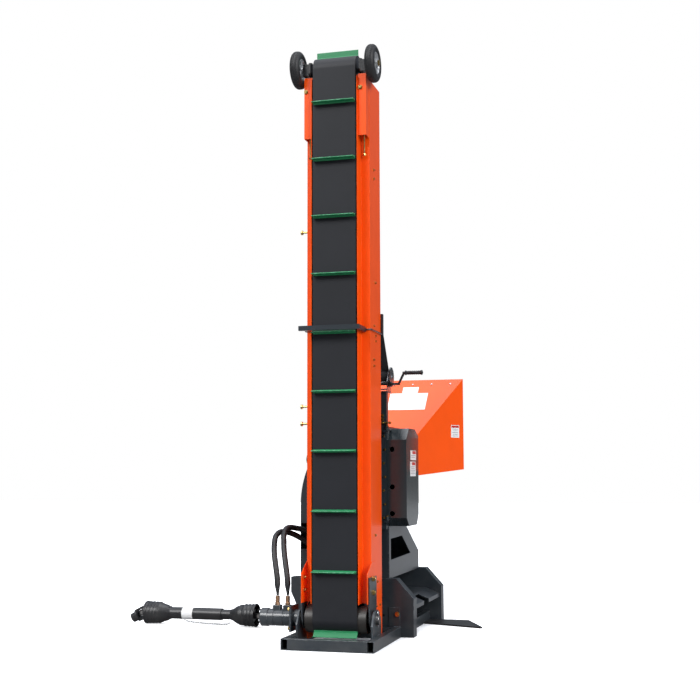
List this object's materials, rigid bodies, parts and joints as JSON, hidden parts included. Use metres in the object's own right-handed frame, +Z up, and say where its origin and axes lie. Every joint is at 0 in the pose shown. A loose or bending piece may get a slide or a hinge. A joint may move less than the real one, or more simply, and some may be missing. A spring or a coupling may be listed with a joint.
{
  "type": "branch cutter with folding belt conveyor",
  "caption": "Shaft-driven wood cutter on a low steel stand, with an infeed funnel, twin cutting rotors and a cleated belt conveyor folded upright on hinged arms by a hand winch.",
  "frame": {"origin": "middle of the front cross tube's underside, on the ground", "axes": "+Z up; +X to the machine's right, along the drum and rotor shafts; -Y toward the discharge side, where the conveyor folds down; +Y toward the infeed hopper"},
  "size_m": [2.1658, 1.55, 3.3275],
  "materials": {
    "orange_paint": "satin orange-red powder coat",
    "frame_paint": "satin dark blue-grey paint",
    "black_paint": "satin black paint",
    "steel": "turned and ground steel, oiled",
    "zinc": "bright zinc plate",
    "gold_zinc": "yellow-passivated zinc plate",
    "belt_rubber": "smooth black belt",
    "green_plastic": "moulded green polymer",
    "hose_rubber": "sleeved hydraulic hose",
    "webbing": "woven webbing",
    "black_plastic": "moulded black polymer",
    "tyre": "black rubber with a fine tread",
    "rim_paint": "silver enamel"
  },
  "bodies": {
    "machine": {"base_frame": "frame_paint", "pivot_stubs": "steel", "r_clip": "zinc", "hydraulic_motor": "frame_paint", "hose_fittings": "gold_zinc", "pressure_hose": "hose_rubber", "return_hose": "hose_rubber", "near_leg": "frame_paint", "far_leg": "frame_paint", "left_leg_plate": "frame_paint", "stand_shelf": "frame_paint", "ground_skid": "black_paint", "side_plate_right": "frame_paint", "side_plate_left": "frame_paint", "rotor_housing": "frame_paint", "outlet_chute": "frame_paint", "drive_cover": "frame_paint", "hopper": "orange_paint", "winch_post": "frame_paint", "winch_frame": "zinc", "lift_strap": "webbing", "drive_chain": "steel", "shaft_bearings": "frame_paint", "machine_bolts": "gold_zinc"},
    "lower_rotor": {"rotor_lower": "steel", "gear_lower": "steel"},
    "upper_rotor": {"rotor_upper": "steel", "gear_upper": "steel"},
    "gear_door": {"gear_cover": "frame_paint"},
    "reel": {"winch_drum": "zinc"},
    "crank": {"winch_crank": "black_paint"},
    "grip": {"crank_grip": "black_plastic"},
    "conveyor": {"rail_left": "orange_paint", "rail_right": "orange_paint", "slider_bed": "frame_paint", "belt": "belt_rubber", "belt_cleats": "green_plastic", "tension_guards": "orange_paint", "tension_rods": "gold_zinc", "takeup_arms": "black_paint", "lift_yoke": "frame_paint", "gusset_plates": "orange_paint", "pivot_arms": "frame_paint", "conveyor_bolts": "gold_zinc"},
    "hook": {"stay_hook": "black_paint"},
    "drum": {"drive_drum": "steel"},
    "roller": {"head_roller": "black_paint"},
    "left_wheel": {"tyre_left": "tyre", "rim_left": "rim_paint"},
    "right_wheel": {"tyre_right": "tyre", "rim_right": "rim_paint"},
    "input": {"input_shaft": "steel"},
    "cross": {"universal_cross": "steel"},
    "machine_shaft": {"shaft_machine": "steel"},
    "machine_guard": {"guard_machine": "black_plastic", "safety_chain": "black_paint"},
    "tractor_shaft": {"shaft_tractor": "steel"},
    "tractor_guard": {"guard_tractor": "black_plastic"},
    "yoke_cross": {"tractor_cross": "steel"},
    "tractor_yoke": {"yoke_tractor": "steel"}
  },
  "joints": [
    {"name": "conveyor_fold", "type": "hinge", "parent": "machine", "child": "conveyor", "pos_m": [0, 0.2103, 0.142], "axis": [1, 0, 0], "range_deg": [0, 70], "deforming": ["lift_strap"]},
    {"name": "drum_spin", "type": "hinge", "parent": "machine", "child": "drum", "pos_m": [0, 0.2103, 0.142], "axis": [1, 0, 0], "continuous": true},
    {"name": "roller_spin", "type": "hinge", "parent": "conveyor", "child": "roller", "pos_m": [0, 0.2103, 3.206], "axis": [1, 0, 0], "continuous": true},
    {"name": "left_wheel_spin", "type": "hinge", "parent": "conveyor", "child": "left_wheel", "pos_m": [-0.218, 0.165, 3.22], "axis": [1, 0, 0], "continuous": true},
    {"name": "right_wheel_spin", "type": "hinge", "parent": "conveyor", "child": "right_wheel", "pos_m": [0.218, 0.165, 3.22], "axis": [1, 0, 0], "continuous": true},
    {"name": "hook_swing", "type": "hinge", "parent": "conveyor", "child": "hook", "pos_m": [-0.212, 0.33, 1.209], "axis": [1, 0, 0], "range_deg": [-15, 150]},
    {"name": "cover_hinge", "type": "hinge", "parent": "machine", "child": "gear_door", "pos_m": [0.19, 0.561, 0.9], "axis": [0, 0, -1], "range_deg": [0, 90]},
    {"name": "lower_rotor_spin", "type": "hinge", "parent": "machine", "child": "lower_rotor", "pos_m": [0, 0.78, 0.9065], "axis": [1, 0, 0], "continuous": true},
    {"name": "upper_rotor_spin", "type": "hinge", "parent": "machine", "child": "upper_rotor", "pos_m": [0, 0.78, 1.0765], "axis": [1, 0, 0], "continuous": true},
    {"name": "reel_spin", "type": "hinge", "parent": "machine", "child": "reel", "pos_m": [0.16, 0.64267, 1.48919], "axis": [1, 0, 0], "continuous": true},
    {"name": "crank_spin", "type": "hinge", "parent": "machine", "child": "crank", "pos_m": [0.2, 0.59, 1.445], "axis": [1, 0, 0], "continuous": true},
    {"name": "grip_spin", "type": "hinge", "parent": "crank", "child": "grip", "pos_m": [0.345, 0.59, 1.508], "axis": [1, 0, 0], "continuous": true},
    {"name": "input_spin", "type": "hinge", "parent": "machine", "child": "input", "pos_m": [-0.4, 0.82, 0.072], "axis": [1, 0, 0], "continuous": true},
    {"name": "joint_yaw", "type": "hinge", "parent": "input", "child": "cross", "pos_m": [-0.668, 0.82, 0.072], "axis": [0, 0, 1], "range_deg": [-20, 20]},
    {"name": "joint_pitch", "type": "hinge", "parent": "cross", "child": "machine_shaft", "pos_m": [-0.668, 0.82, 0.072], "axis": [0, 1, 0], "range_deg": [0, 25]},
    {"name": "machine_guard_spin", "type": "hinge", "parent": "machine_shaft", "child": "machine_guard", "pos_m": [-0.8, 0.82, 0.072], "axis": [1, 0, 0], "continuous": true},
    {"name": "shaft_telescope", "type": "slide", "parent": "machine_shaft", "child": "tractor_shaft", "axis": [-1, 0, 0], "range_m": [-0.04, 0.2]},
    {"name": "tractor_guard_spin", "type": "hinge", "parent": "tractor_shaft", "child": "tractor_guard", "pos_m": [-1.3, 0.82, 0.072], "axis": [1, 0, 0], "continuous": true},
    {"name": "yoke_pitch", "type": "hinge", "parent": "tractor_shaft", "child": "yoke_cross", "pos_m": [-1.436, 0.82, 0.072], "axis": [0, 1, 0], "range_deg": [0, 57]},
    {"name": "yoke_yaw", "type": "hinge", "parent": "yoke_cross", "child": "tractor_yoke", "pos_m": [-1.436, 0.82, 0.072], "axis": [-0.454, 0, 0.891], "range_deg": [-15, 15]}
  ],
  "couplings": [
    {"joint": "roller_spin", "follows": "drum_spin", "ratio": 1},
    {"joint": "upper_rotor_spin", "follows": "lower_rotor_spin", "ratio": -1},
    {"joint": "input_spin", "follows": "lower_rotor_spin", "ratio": 1.8182},
    {"joint": "crank_spin", "follows": "reel_spin", "ratio": -4}
  ]
}
